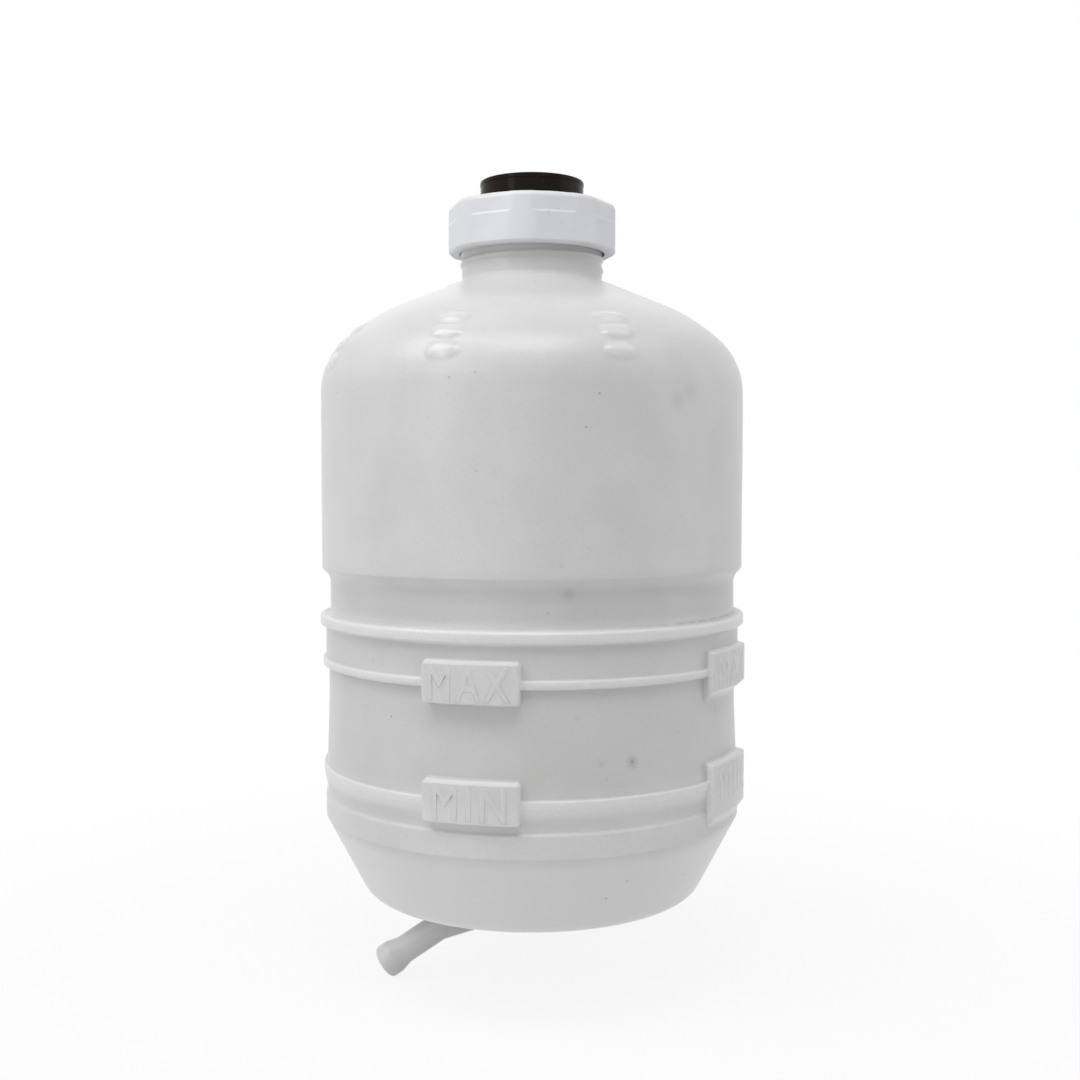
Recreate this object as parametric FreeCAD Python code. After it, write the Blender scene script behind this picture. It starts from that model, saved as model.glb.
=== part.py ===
import FreeCAD, Part
import math
import os

# Coolant reservoir: a round blow-moulded tank with a screwed-on pressure cap.
# Millimetres, +Z up. The origin is on the tank's axis, inside the strap groove.
# Heights below are measured up from the flat base, and radii from the axis.

# Tank
tank_wall = 2.6
strap_groove_height = 110.0
base_corner_radius = 59.7
base_corner_rounding = 7.0
cone_top_height = 29.1
foot_inset = 1.0
foot_band_height = 36.6
foot_step_height = 0.8
waist_inset = 1.9
gauge_wall_inset = 2.4
flare_inset = 1.5
flare_top_height = 70.0
min_line_height = 46.8
max_line_height = 84.6
line_rib_half_height = 1.7
line_rib_crest_half = 0.7
line_rib_inset = 0.3
upper_wall_inset = 1.3
round_rib_height = 99.8
round_rib_rise = 0.7
round_rib_arc_radius = 2.3
round_rib_corners = 7
groove_depth = 2.9
groove_top_height = 114.2
groove_step_height = 5.6
body_radius = 75.9
shoulder_lower_rounding = 26.0
shoulder_upper_rounding = 65.0
shoulder_break_slope = 42.0
shoulder_slope = 23.0
neck_root_height = 219.85

# Filler neck
neck_radius = 25.3
neck_bore_radius = 22.5
neck_length = 21.55

# Level plates: pairs of raised pads, one on each level line
plate_rise = 1.6
plate_width = 33.0
plate_height = 13.7
plate_edge_bevel = 0.6
front_plate_azimuth = -15.0
side_plate_azimuth = 63.5
side_plate_taper = 4.0
side_min_plate_drop = 4.6

# Shoulder bumps: groups of low oval bumps, stacked down the rounded shoulder
bump_radius = 5.5
bump_length = 7.0
bump_end_length = 3.6
bump_end_drop = 1.6
bump_rise = 0.8
bumps_per_group = 3
bump_first_distance = 8.55
bump_step = 7.4
bump_group_azimuths = (-67.5, -22.5, 22.5, 112.5, 157.5, 202.5)

# Outlet spigot: an elbow welded into the base
spigot_x = -16.0
spigot_slope = 34.0
spigot_tube_radius = 5.05
spigot_bore_radius = 3.3
spigot_bead_radius = 6.2
spigot_bead_length = 4.0
spigot_bead_taper = 4.0
spigot_bead_bevel = 0.9
spigot_reach = 46.1
spigot_bend_depth = 4.3
boss_radius = 8.5
boss_drop = 19.0
boss_bevel = 2.0
boss_collar_radius = 6.4
boss_collar_clearance = 0.1
boss_bore_radius = 4.4
boss_bore_depth = 9.0

# Lock ring
ring_wall = 3.55
ring_thread_room = 1.3
ring_hole_clearance = 0.3
ring_skirt_height = 16.3
ring_lip_thickness = 3.5
ring_top_inset = 8.1
ring_shoulder_drop = 4.1
ring_shoulder_rounding = 3.0
ring_edge_bevel = 1.9
grip_flat_count = 8
grip_flat_half_angle = 13.0
grip_flat_first_azimuth = 15.5
grip_flat_drop = 7.4

# Cap insert
gasket_thickness = 2.0
gasket_inset = 0.3
flange_thickness = 2.5
housing_radius = 18.6
housing_wall = 2.7
housing_rise = 7.6
skirt_drop = 8.0
cover_lip_overhang = 0.3
cover_lip_thickness = 1.6
cover_neck_height = 0.4
cover_edge_bevel = 0.4
cover_skirt_drop = 4.2
cover_skirt_gap = 0.35
cover_vent_gap = 0.4
housing_rim_step = 1.3
cover_plug_depth = 3.5
cover_plug_wall = 3.2
slip_clearance = 0.15
vent_count = 4
vent_width = 5.0
vent_depth = 1.6

# Pressure valve
cage_clearance = 1.1
cage_floor_thickness = 2.0
cage_well_depth = 3.2
cage_sleeve_height = 4.0
seat_inset = 5.5
seal_inner_margin = 0.8
seal_outer_margin = 1.0
seal_thickness = 1.5
plate_clearance = 2.0
plate_thickness = 1.5
plate_rim_height = 1.2
wire_sides = 6
main_wire_radius = 0.9
main_coil_inset = 3.0
main_coil_turns = 4.5
cup_clearance = 0.3
cup_thickness = 1.5
cup_sleeve_wall = 1.4
cup_sleeve_drop = 3.0
cup_sleeve_clearance = 0.6
cup_vent_radius = 1.4
cup_vent_inset = 2.3

# Vacuum valve
stem_radius = 1.6
stem_clearance = 0.4
poppet_head_radius = 5.0
poppet_head_thickness = 1.2
washer_outer_radius = 4.8
washer_thickness = 1.0
small_wire_radius = 0.35
small_coil_radius = 2.8
small_coil_turns = 5.0
small_coil_height = 6.5
retainer_radius = 4.2
retainer_thickness = 1.2
stem_tip_length = 0.6

# Places that follow from the sizes above
base_z = -strap_groove_height
foot_radius = body_radius - foot_inset
waist_radius = body_radius - waist_inset
flare_radius = body_radius - flare_inset
upper_wall_radius = body_radius - upper_wall_inset
line_rib_radius = body_radius - line_rib_inset
gauge_wall_radius = body_radius - gauge_wall_inset
round_rib_radius = body_radius + round_rib_rise
groove_radius = body_radius - groove_depth
plate_face_radius = body_radius + plate_rise
rim_z = base_z + neck_root_height + neck_length
flange_z = rim_z + gasket_thickness
lip_z = flange_z + flange_thickness
flange_radius = neck_radius - gasket_inset
housing_top_z = lip_z + housing_rise
housing_bore_radius = housing_radius - housing_wall
housing_rim_radius = housing_radius - housing_rim_step
cover_lip_radius = housing_radius + cover_lip_overhang
ring_bore_radius = neck_radius + ring_thread_room
ring_outer_radius = ring_bore_radius + ring_wall
ring_top_radius = ring_outer_radius - ring_top_inset
cage_radius = neck_bore_radius - cage_clearance
plate_radius = housing_bore_radius - plate_clearance
seat_bore_radius = plate_radius - seat_inset
seal_inner_radius = seat_bore_radius + seal_inner_margin
seal_outer_radius = plate_radius - seal_outer_margin
main_coil_radius = plate_radius - main_coil_inset
cup_radius = housing_bore_radius - cup_clearance
cup_vent_circle = cup_radius - cup_vent_inset
skirt_end_z = flange_z - skirt_drop
seat_z = skirt_end_z - cage_well_depth
valve_plate_z = seat_z + seal_thickness
plate_top_z = valve_plate_z + plate_thickness
cup_z = housing_top_z - cover_plug_depth - cup_thickness

up = FreeCAD.Vector(0, 0, 1)
origin = FreeCAD.Vector(0, 0, 0)


def point(radius, z):
    return FreeCAD.Vector(radius, 0, z)


def outline_edges(corners):
    """Straight runs through corners of (radius, z, rounding), with a tangent arc at each rounded corner."""
    points = [point(radius, z) for radius, z, rounding in corners]
    edges = []
    start = points[0]
    for before, corner, after, size in zip(points, points[1:], points[2:], corners[1:]):
        back = before - corner
        ahead = after - corner
        half = back.getAngle(ahead) / 2
        # a rounding stays within its own half of the two runs beside it
        reach = min(size[2] / math.tan(half), 0.499 * back.Length, 0.499 * ahead.Length)
        if size[2] == 0 or reach < 0.01:
            edges.append(Part.LineSegment(start, corner).toShape())
            start = corner
            continue
        back.normalize()
        ahead.normalize()
        bisector = back + ahead
        bisector.normalize()
        rounding = reach * math.tan(half)
        arc_start = corner + back * reach
        arc_end = corner + ahead * reach
        arc_middle = corner + bisector * (rounding / math.sin(half) - rounding)
        edges.append(Part.LineSegment(start, arc_start).toShape())
        edges.append(Part.Arc(arc_start, arc_middle, arc_end).toShape())
        start = arc_end
    edges.append(Part.LineSegment(start, points[-1]).toShape())
    return edges


def revolved(corners, angle=360.0):
    """A solid of revolution about Z from a closed outline of (radius, z, rounding) corners."""
    face = Part.Face(Part.Wire(outline_edges(corners + corners[:1])))
    return face.revolve(origin, up, angle)


def turned_about_axis(shape, azimuth):
    """A copy turned about Z, with azimuth 0 on the -Y side and growing towards +X."""
    copy = shape.copy()
    copy.rotate(origin, up, azimuth - 90.0)
    return copy


def ring_of(count, shape, first=0.0):
    return [turned_about_axis(shape, first + index * 360.0 / count) for index in range(count)]


def disc_ring(inner_radius, outer_radius, z, height):
    outer = Part.makeCylinder(outer_radius, height, point(0, z))
    return outer.cut(Part.makeCylinder(inner_radius, height, point(0, z)))


def line_rib(height, lower_corner, upper_corner):
    """A level line's rib: its crest between the corners of the wall below and above it."""
    z = base_z + height
    return [
        lower_corner,
        (line_rib_radius, z - line_rib_crest_half, 0),
        (line_rib_radius, z + line_rib_crest_half, 0),
        upper_corner,
    ]


def shoulder_corners():
    """The wall's upper corner and the break of the shoulder; their two arcs meet on the run between."""
    break_slope = math.radians(shoulder_break_slope)
    lower_reach = shoulder_lower_rounding * math.tan((math.pi / 2 - break_slope) / 2)
    upper_reach = shoulder_upper_rounding * math.tan((break_slope - math.radians(shoulder_slope)) / 2)
    run = lower_reach + upper_reach
    break_radius = body_radius - run * math.cos(break_slope)
    fall = (break_radius - neck_radius) * math.tan(math.radians(shoulder_slope))
    break_z = base_z + neck_root_height - fall
    wall_z = break_z - run * math.sin(break_slope)
    return [
        (body_radius, wall_z, shoulder_lower_rounding),
        (break_radius, break_z, shoulder_upper_rounding),
    ]


def shoulder_arcs():
    """Centre (radius, z) of the lower and of the upper arc."""
    break_slope = math.radians(shoulder_break_slope)
    lower_reach = shoulder_lower_rounding * math.tan((math.pi / 2 - break_slope) / 2)
    wall_z = shoulder_corners()[0][1]
    lower = (body_radius - shoulder_lower_rounding, wall_z - lower_reach)
    growth = shoulder_upper_rounding - shoulder_lower_rounding
    upper = (lower[0] - growth * math.sin(break_slope), lower[1] - growth * math.cos(break_slope))
    return lower, upper


def arc_corners(centre_radius, centre_z, arc_radius, first_angle, last_angle, count):
    """Sharp corners set evenly along an arc, from the first angle to the last, in radians above level."""
    corners = []
    for index in range(count):
        angle = first_angle + (last_angle - first_angle) * index / (count - 1)
        radius = centre_radius + arc_radius * math.cos(angle)
        z = centre_z + arc_radius * math.sin(angle)
        corners.append((radius, z, 0))
    return corners


def round_rib():
    """Corners along the rib's arc, from the wall below it over its crest, and then in to the groove's floor."""
    centre = round_rib_radius - round_rib_arc_radius
    first = -math.acos((upper_wall_radius - centre) / round_rib_arc_radius)
    rib_z = base_z + round_rib_height
    corners = arc_corners(centre, rib_z, round_rib_arc_radius, first, math.pi / 2, round_rib_corners)
    return corners + [(groove_radius, rib_z + round_rib_arc_radius, 0)]


def tank_outer():
    groove_z = base_z + groove_top_height
    step_z = base_z + foot_band_height + foot_step_height
    min_top = (flare_radius, base_z + min_line_height + line_rib_half_height, 0)
    max_bottom = (gauge_wall_radius, base_z + max_line_height - line_rib_half_height, 0)
    max_top = (upper_wall_radius, base_z + max_line_height + line_rib_half_height, 0)
    corners = [
        (0, base_z, 0),
        (base_corner_radius, base_z, base_corner_rounding),
        (foot_radius, base_z + cone_top_height, 0),
        (foot_radius, base_z + foot_band_height, 0),
    ]
    corners += line_rib(min_line_height, (waist_radius, step_z, 0), min_top)
    corners += [(gauge_wall_radius, base_z + flare_top_height, 0)]
    corners += line_rib(max_line_height, max_bottom, max_top)
    corners += round_rib()
    corners += [
        (groove_radius, groove_z, 0),
        (body_radius, groove_z + groove_step_height, 0),
    ]
    corners += shoulder_corners()
    corners += [
        (neck_radius, base_z + neck_root_height, 0),
        (neck_radius, rim_z, 0),
        (0, rim_z, 0),
    ]
    return revolved(corners)


def tank_inner():
    """The hollow: it follows the outer wall without its ribs, and opens through the neck."""
    lower_radius = min(groove_radius, gauge_wall_radius) - tank_wall
    upper_radius = body_radius - tank_wall
    cone_lean = math.atan2(foot_radius - base_corner_radius, cone_top_height)
    cone_inset = tank_wall / math.cos(cone_lean)
    cone_end = (lower_radius - base_corner_radius + cone_inset) / math.tan(cone_lean)
    roof_drop = tank_wall / math.cos(math.radians(shoulder_slope))
    groove_z = base_z + groove_top_height
    floor_radius = base_corner_radius - tank_wall * math.tan((math.pi / 2 - cone_lean) / 2)
    break_turn = math.radians(90.0 - shoulder_break_slope)
    cone_turn = math.radians(90.0 - shoulder_slope)
    lower_centre, upper_centre = shoulder_arcs()
    lower_arc = shoulder_lower_rounding - tank_wall
    upper_arc = shoulder_upper_rounding - tank_wall
    corners = [
        (0, base_z + tank_wall, 0),
        (floor_radius, base_z + tank_wall, 0),
        (lower_radius, base_z + cone_end, 0),
        (lower_radius, groove_z, 0),
        (upper_radius, groove_z + groove_step_height, 0),
    ]
    corners += arc_corners(lower_centre[0], lower_centre[1], lower_arc, 0, break_turn, 3)
    corners += arc_corners(upper_centre[0], upper_centre[1], upper_arc, break_turn, cone_turn, 2)[1:]
    neck_fall = (neck_bore_radius - neck_radius) * math.tan(math.radians(shoulder_slope))
    corners += [
        (neck_bore_radius, base_z + neck_root_height - neck_fall - roof_drop, 0),
        (neck_bore_radius, rim_z, 0),
        (0, rim_z, 0),
    ]
    return revolved(corners)


def level_plate(line_height, drop=0.0, taper=0.0):
    """A raised pad on a level line; it may reach further down and end in a sloping underside."""
    z = base_z + line_height
    root_radius = gauge_wall_radius - tank_wall / 2
    lower_z = z - plate_height / 2 - drop
    corners = [
        (root_radius, lower_z - taper, 0),
        (plate_face_radius, lower_z, 0),
        (plate_face_radius, z + plate_height / 2, 0),
        (root_radius, z + plate_height / 2, 0),
    ]
    width_angle = math.degrees(plate_width / plate_face_radius)
    pad = revolved(corners, width_angle)
    pad.rotate(origin, up, -width_angle / 2)
    middle = point(plate_face_radius, z)
    face = min(pad.Faces, key=lambda item: item.distToShape(Part.Vertex(middle))[0])
    return pad.makeChamfer(plate_edge_bevel, face.Edges)


def shoulder_bumps():
    """One group of bumps: each is a bar with tapered ends, sunk into the shoulder until its crown shows."""
    lower_centre, upper_centre = shoulder_arcs()
    break_turn = math.radians(90.0 - shoulder_break_slope)
    lower_length = shoulder_lower_rounding * break_turn
    end_radius = bump_radius - bump_end_drop
    along = FreeCAD.Vector(0, 1, 0)
    half = along * (bump_length / 2)
    bumps = []
    for index in range(bumps_per_group):
        distance = bump_first_distance + index * bump_step
        if distance < lower_length:
            centre_radius, centre_z = lower_centre
            rounding = shoulder_lower_rounding
            angle = distance / rounding
        else:
            centre_radius, centre_z = upper_centre
            rounding = shoulder_upper_rounding
            angle = break_turn + (distance - lower_length) / rounding
        depth = rounding + bump_rise - bump_radius
        centre = point(centre_radius + depth * math.cos(angle), centre_z + depth * math.sin(angle))
        bar = Part.makeCylinder(bump_radius, bump_length, centre - half, along)
        ends = [
            Part.makeCone(bump_radius, end_radius, bump_end_length, centre + half, along),
            Part.makeCone(bump_radius, end_radius, bump_end_length, centre - half, -along),
        ]
        bumps.append(bar.fuse(ends))
    return bumps


def tank_body():
    front_plates = [level_plate(min_line_height), level_plate(max_line_height)]
    side_plates = [
        level_plate(min_line_height, side_min_plate_drop, side_plate_taper),
        level_plate(max_line_height, taper=side_plate_taper),
    ]
    bumps = shoulder_bumps()
    raised = [turned_about_axis(plate, front_plate_azimuth) for plate in front_plates]
    raised += [turned_about_axis(plate, side_plate_azimuth) for plate in side_plates]
    raised += [turned_about_axis(bump, azimuth) for azimuth in bump_group_azimuths for bump in bumps]
    hole_radius = boss_collar_radius + boss_collar_clearance
    outlet_hole = Part.makeCylinder(hole_radius, tank_wall, FreeCAD.Vector(spigot_x, 0, base_z))
    return tank_outer().fuse(raised).cut([tank_inner(), outlet_hole])


def outlet_spigot():
    """A boss under the base turns into a sloping tube with a hose bead at its end."""
    root = FreeCAD.Vector(spigot_x, 0, base_z)
    boss = Part.makeCylinder(boss_radius, boss_drop, root - up * boss_drop)
    lower_edge = min(boss.Edges, key=lambda edge: edge.BoundBox.ZMax)
    boss = boss.makeChamfer(boss_bevel, [lower_edge])
    collar = Part.makeCylinder(boss_collar_radius, tank_wall, root)

    slope = math.radians(spigot_slope)
    out = FreeCAD.Vector(-math.cos(slope), 0, -math.sin(slope))
    bend = root - up * spigot_bend_depth
    bead_start = spigot_reach - spigot_bead_length
    tube_outline = [
        (0, 0, 0),
        (spigot_tube_radius, 0, 0),
        (spigot_tube_radius, bead_start - spigot_bead_taper, 0),
        (spigot_bead_radius, bead_start, 0),
        (spigot_bead_radius, spigot_reach, 0),
        (spigot_bead_radius - spigot_bead_bevel, spigot_reach + spigot_bead_bevel, 0),
        (0, spigot_reach + spigot_bead_bevel, 0),
    ]
    tube = revolved(tube_outline)
    tube_bore = Part.makeCylinder(spigot_bore_radius, spigot_reach * 2)
    along_tube = FreeCAD.Placement(bend, FreeCAD.Rotation(up, out))
    tube.Placement = along_tube
    tube_bore.Placement = along_tube
    # the root is trimmed flush with the underside of the tank
    span = 4 * (spigot_reach + boss_radius)
    above = Part.makeBox(span, span, span, root - FreeCAD.Vector(span / 2, span / 2, 0))
    boss_bore = Part.makeCylinder(boss_bore_radius, boss_bore_depth + tank_wall, root - up * boss_bore_depth)
    return boss.fuse(tube).cut(above).fuse(collar).cut([tube_bore, boss_bore]).removeSplitter()


def lock_ring():
    hole_radius = cover_lip_radius + ring_hole_clearance
    top_z = lip_z + ring_lip_thickness
    bottom_z = lip_z - ring_skirt_height
    corners = [
        (ring_bore_radius, bottom_z, 0),
        (ring_outer_radius - ring_edge_bevel, bottom_z, 0),
        (ring_outer_radius, bottom_z + ring_edge_bevel, 0),
        (ring_outer_radius, top_z - ring_shoulder_drop, ring_shoulder_rounding),
        (ring_top_radius, top_z, 0),
        (hole_radius, top_z, 0),
        (hole_radius, lip_z, 0),
        (ring_bore_radius, lip_z, 0),
    ]
    ring = revolved(corners)
    # planar flats that cut a chord of the given half angle
    flat_distance = ring_outer_radius * math.cos(math.radians(grip_flat_half_angle))
    flat_height = top_z - grip_flat_drop - bottom_z
    corner = FreeCAD.Vector(flat_distance, -ring_outer_radius, bottom_z)
    block = Part.makeBox(ring_outer_radius, 2 * ring_outer_radius, flat_height, corner)
    return ring.cut(ring_of(grip_flat_count, block, grip_flat_first_azimuth))


def neck_gasket():
    return disc_ring(neck_bore_radius, flange_radius, rim_z, gasket_thickness)


def vent_blocks(z, height, reach):
    block = Part.makeBox(reach, vent_width, height, FreeCAD.Vector(0, -vent_width / 2, z))
    return ring_of(vent_count, block)


def valve_housing():
    """A flanged tube: its skirt hangs in the neck and its upper part stands through the ring."""
    step_z = housing_top_z - cover_skirt_drop - cover_vent_gap
    corners = [
        (housing_bore_radius, skirt_end_z, 0),
        (housing_radius, skirt_end_z, 0),
        (housing_radius, flange_z, 0),
        (flange_radius, flange_z, 0),
        (flange_radius, lip_z, 0),
        (housing_radius, lip_z, 0),
        (housing_radius, step_z, 0),
        (housing_rim_radius, step_z, 0),
        (housing_rim_radius, housing_top_z, 0),
        (housing_bore_radius, housing_top_z, 0),
    ]
    return revolved(corners).cut(vent_blocks(housing_top_z - vent_depth, vent_depth, housing_radius))


def valve_cover():
    """A lid whose skirt hides the vents: the vent slots of the plug and of the housing's rim line up."""
    skirt_radius = housing_rim_radius + cover_skirt_gap
    plug_radius = housing_bore_radius - slip_clearance
    plug_z = housing_top_z - cover_plug_depth
    lip_bottom_z = housing_top_z + cover_neck_height
    top_z = lip_bottom_z + cover_lip_thickness
    corners = [
        (0, housing_top_z, 0),
        (plug_radius - cover_plug_wall, housing_top_z, 0),
        (plug_radius - cover_plug_wall, plug_z, 0),
        (plug_radius, plug_z, 0),
        (plug_radius, housing_top_z, 0),
        (skirt_radius, housing_top_z, 0),
        (skirt_radius, housing_top_z - cover_skirt_drop, 0),
        (housing_radius, housing_top_z - cover_skirt_drop, 0),
        (housing_radius, lip_bottom_z, 0),
        (cover_lip_radius, lip_bottom_z, 0),
        (cover_lip_radius, top_z - cover_edge_bevel, 0),
        (cover_lip_radius - cover_edge_bevel, top_z, 0),
        (0, top_z, 0),
    ]
    return revolved(corners).cut(vent_blocks(plug_z, cover_plug_depth, skirt_radius))


def valve_cage():
    """A cup pushed over the housing's skirt, with the pressure seat in its floor."""
    sleeve_radius = housing_radius + slip_clearance
    bottom_z = seat_z - cage_floor_thickness
    corners = [
        (seat_bore_radius, bottom_z, 0),
        (cage_radius, bottom_z, 0),
        (cage_radius, skirt_end_z + cage_sleeve_height, 0),
        (sleeve_radius, skirt_end_z + cage_sleeve_height, 0),
        (sleeve_radius, skirt_end_z, 0),
        (housing_bore_radius, skirt_end_z, 0),
        (housing_bore_radius, seat_z, 0),
        (seat_bore_radius, seat_z, 0),
    ]
    return revolved(corners)


def pressure_seal():
    return disc_ring(seal_inner_radius, seal_outer_radius, seat_z, seal_thickness)


def pressure_plate():
    """A pressed disc with a turned-up rim that centres the main spring."""
    hole_radius = stem_radius + stem_clearance
    rim_inner = main_coil_radius + main_wire_radius + stem_clearance
    corners = [
        (hole_radius, valve_plate_z, 0),
        (plate_radius, valve_plate_z, 0),
        (plate_radius, plate_top_z + plate_rim_height, 0),
        (rim_inner, plate_top_z + plate_rim_height, 0),
        (rim_inner, plate_top_z, 0),
        (hole_radius, plate_top_z, 0),
    ]
    return revolved(corners)


def coil_spring(coil_radius, wire_radius, turns, z, height):
    """Wire of many-sided section along a helix, set between two faces that the end turns touch."""
    rise = height - 2 * wire_radius
    helix = Part.makeHelix(rise / turns, rise, coil_radius)
    helix.translate(point(0, z + wire_radius))
    corners = []
    for index in range(wire_sides + 1):
        angle = 2 * math.pi * index / wire_sides
        radius = coil_radius + wire_radius * math.cos(angle)
        corners.append(point(radius, z + wire_radius * (1 + math.sin(angle))))
    section = Part.makePolygon(corners)
    return Part.Wire(helix.Edges).makePipeShell([section], True, True)


def pressure_spring():
    return coil_spring(main_coil_radius, main_wire_radius, main_coil_turns, plate_top_z, cup_z - plate_top_z)


def spring_cup():
    """The main spring's upper seat: a disc with a sleeve that goes down inside the coil."""
    sleeve_radius = main_coil_radius - main_wire_radius - cup_sleeve_clearance
    corners = [
        (sleeve_radius - cup_sleeve_wall, cup_z - cup_sleeve_drop, 0),
        (sleeve_radius, cup_z - cup_sleeve_drop, 0),
        (sleeve_radius, cup_z, 0),
        (cup_radius, cup_z, 0),
        (cup_radius, cup_z + cup_thickness, 0),
        (sleeve_radius - cup_sleeve_wall, cup_z + cup_thickness, 0),
    ]
    vent = Part.makeCylinder(cup_vent_radius, cup_thickness, point(cup_vent_circle, cup_z))
    return revolved(corners).cut(ring_of(vent_count, vent))


def vacuum_poppet():
    """A headed stem that hangs through the pressure plate."""
    head_top = valve_plate_z - washer_thickness
    tip_z = plate_top_z + small_coil_height + retainer_thickness + stem_tip_length
    corners = [
        (0, head_top - poppet_head_thickness, 0),
        (poppet_head_radius, head_top - poppet_head_thickness, 0),
        (poppet_head_radius, head_top, 0),
        (stem_radius, head_top, 0),
        (stem_radius, tip_z, 0),
        (0, tip_z, 0),
    ]
    return revolved(corners)


def vacuum_seal():
    return disc_ring(stem_radius, washer_outer_radius, valve_plate_z - washer_thickness, washer_thickness)


def vacuum_spring():
    return coil_spring(small_coil_radius, small_wire_radius, small_coil_turns, plate_top_z, small_coil_height)


def vacuum_retainer():
    return disc_ring(stem_radius, retainer_radius, plate_top_z + small_coil_height, retainer_thickness)


pieces = {
    "tank_body": tank_body(),
    "outlet_spigot": outlet_spigot(),
    "lock_ring": lock_ring(),
    "neck_gasket": neck_gasket(),
    "valve_housing": valve_housing(),
    "valve_cover": valve_cover(),
    "valve_cage": valve_cage(),
    "pressure_seal": pressure_seal(),
    "pressure_plate": pressure_plate(),
    "pressure_spring": pressure_spring(),
    "spring_cup": spring_cup(),
    "vacuum_poppet": vacuum_poppet(),
    "vacuum_seal": vacuum_seal(),
    "vacuum_spring": vacuum_spring(),
    "vacuum_retainer": vacuum_retainer(),
}

os.makedirs("parts", exist_ok=True)
for name, shape in pieces.items():
    shape.exportStep("parts/" + name + ".step")
    print(name, shape.isValid(), len(shape.Solids), round(shape.Volume, 1))
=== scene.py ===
import math
from math import pi, radians

import bpy
import numpy as np
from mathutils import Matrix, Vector


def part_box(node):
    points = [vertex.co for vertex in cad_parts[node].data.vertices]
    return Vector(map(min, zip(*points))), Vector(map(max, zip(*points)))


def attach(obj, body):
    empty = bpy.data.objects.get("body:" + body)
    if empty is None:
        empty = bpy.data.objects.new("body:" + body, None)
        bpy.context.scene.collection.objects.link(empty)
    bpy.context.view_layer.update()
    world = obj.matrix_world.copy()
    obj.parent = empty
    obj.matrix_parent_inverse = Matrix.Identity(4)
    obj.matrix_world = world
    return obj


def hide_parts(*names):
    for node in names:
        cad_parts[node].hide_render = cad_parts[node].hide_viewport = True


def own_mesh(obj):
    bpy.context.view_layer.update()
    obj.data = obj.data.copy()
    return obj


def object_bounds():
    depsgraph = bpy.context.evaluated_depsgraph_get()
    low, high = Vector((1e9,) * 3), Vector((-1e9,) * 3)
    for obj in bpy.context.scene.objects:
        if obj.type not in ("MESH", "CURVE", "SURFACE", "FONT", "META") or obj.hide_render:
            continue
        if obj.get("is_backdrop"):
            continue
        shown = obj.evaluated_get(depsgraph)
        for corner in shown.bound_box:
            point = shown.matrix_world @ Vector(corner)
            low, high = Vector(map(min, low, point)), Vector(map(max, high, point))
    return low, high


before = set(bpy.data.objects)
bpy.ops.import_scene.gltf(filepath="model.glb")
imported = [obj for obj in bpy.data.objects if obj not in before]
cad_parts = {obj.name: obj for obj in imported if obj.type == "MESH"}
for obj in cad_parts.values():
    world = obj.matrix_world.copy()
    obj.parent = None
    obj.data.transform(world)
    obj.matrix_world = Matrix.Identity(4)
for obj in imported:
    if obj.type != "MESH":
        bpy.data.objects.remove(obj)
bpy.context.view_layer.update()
mm = 0.001
print("frame loaded:", len(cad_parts), "nodes")


# Surface helpers

def roundedProfile(corners, arcStep):
    # polyline (radius, height) through corners of (radius, height, rounding):
    # each rounded corner becomes a tangent arc, sampled every arcStep radians
    pts = np.array([c[:2] for c in corners], float)
    out = [pts[:1]]
    for before, here, after, size in zip(pts, pts[1:], pts[2:], [c[2] for c in corners[1:]]):
        back = before - here
        ahead = after - here
        backLen = np.linalg.norm(back)
        aheadLen = np.linalg.norm(ahead)
        back = back / backLen
        ahead = ahead / aheadLen
        half = math.acos(float(np.clip(back @ ahead, -1, 1))) / 2
        reach = min(size / math.tan(half), 0.499 * backLen, 0.499 * aheadLen)
        if reach < 1e-6:
            out.append(here[None])
            continue
        radius = reach * math.tan(half)
        middle = back + ahead
        middle = middle / np.linalg.norm(middle)
        centre = here + middle * radius / math.sin(half)
        spread = pi / 2 - half
        turn = np.linspace(-spread, spread, 2 + int(2 * spread / arcStep))
        side = np.array([-middle[1], middle[0]])
        if side @ ahead < 0:
            side = -side
        out.append(centre + radius * (np.sin(turn)[:, None] * side - np.cos(turn)[:, None] * middle))
    out.append(pts[-1:])
    return np.concatenate(out)


def alongProfile(profile):
    # distance run along a polyline at each of its points
    return np.concatenate([[0.0], np.cumsum(np.linalg.norm(np.diff(profile, axis=0), axis=1))])


def thinned(values, gap):
    # sorted values with neighbours closer than gap dropped
    values = np.sort(values)
    bins = np.round(values / gap).astype(int)
    return values[np.unique(bins, return_index=True)[1]]


def smoothStep(x):
    # 0 below 0, 1 above 1, and a cubic with level ends between
    x = np.clip(x, 0, 1)
    return x * x * (3 - 2 * x)


def profileAt(rows, run, profile):
    # radius and height, as columns, at given distances along a polyline
    return np.interp(rows, run, profile[:, 0])[:, None], np.interp(rows, run, profile[:, 1])[:, None]


def evenTurn(count):
    # azimuths evenly spread over one turn
    return np.linspace(0, 2 * pi, count, endpoint=False)


def onAxis(radius, height, azimuth):
    # points of a turned surface: azimuth 0 is the -Y side and grows towards +X
    radius, height, azimuth = np.broadcast_arrays(radius, height, azimuth)
    return np.stack([radius * np.sin(azimuth), -radius * np.cos(azimuth), height], axis=-1)


def gridFaces(rows, cols, wrapRows):
    # quads of a rows x cols grid that always closes round its columns
    i = np.arange(rows if wrapRows else rows - 1)[:, None]
    j = np.arange(cols)[None]
    nextJ = (j + 1) % cols
    here = i * cols
    above = (i + 1) % rows * cols
    return np.stack([here + j, here + nextJ, above + nextJ, above + j], axis=-1).reshape(-1, 4)


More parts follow.
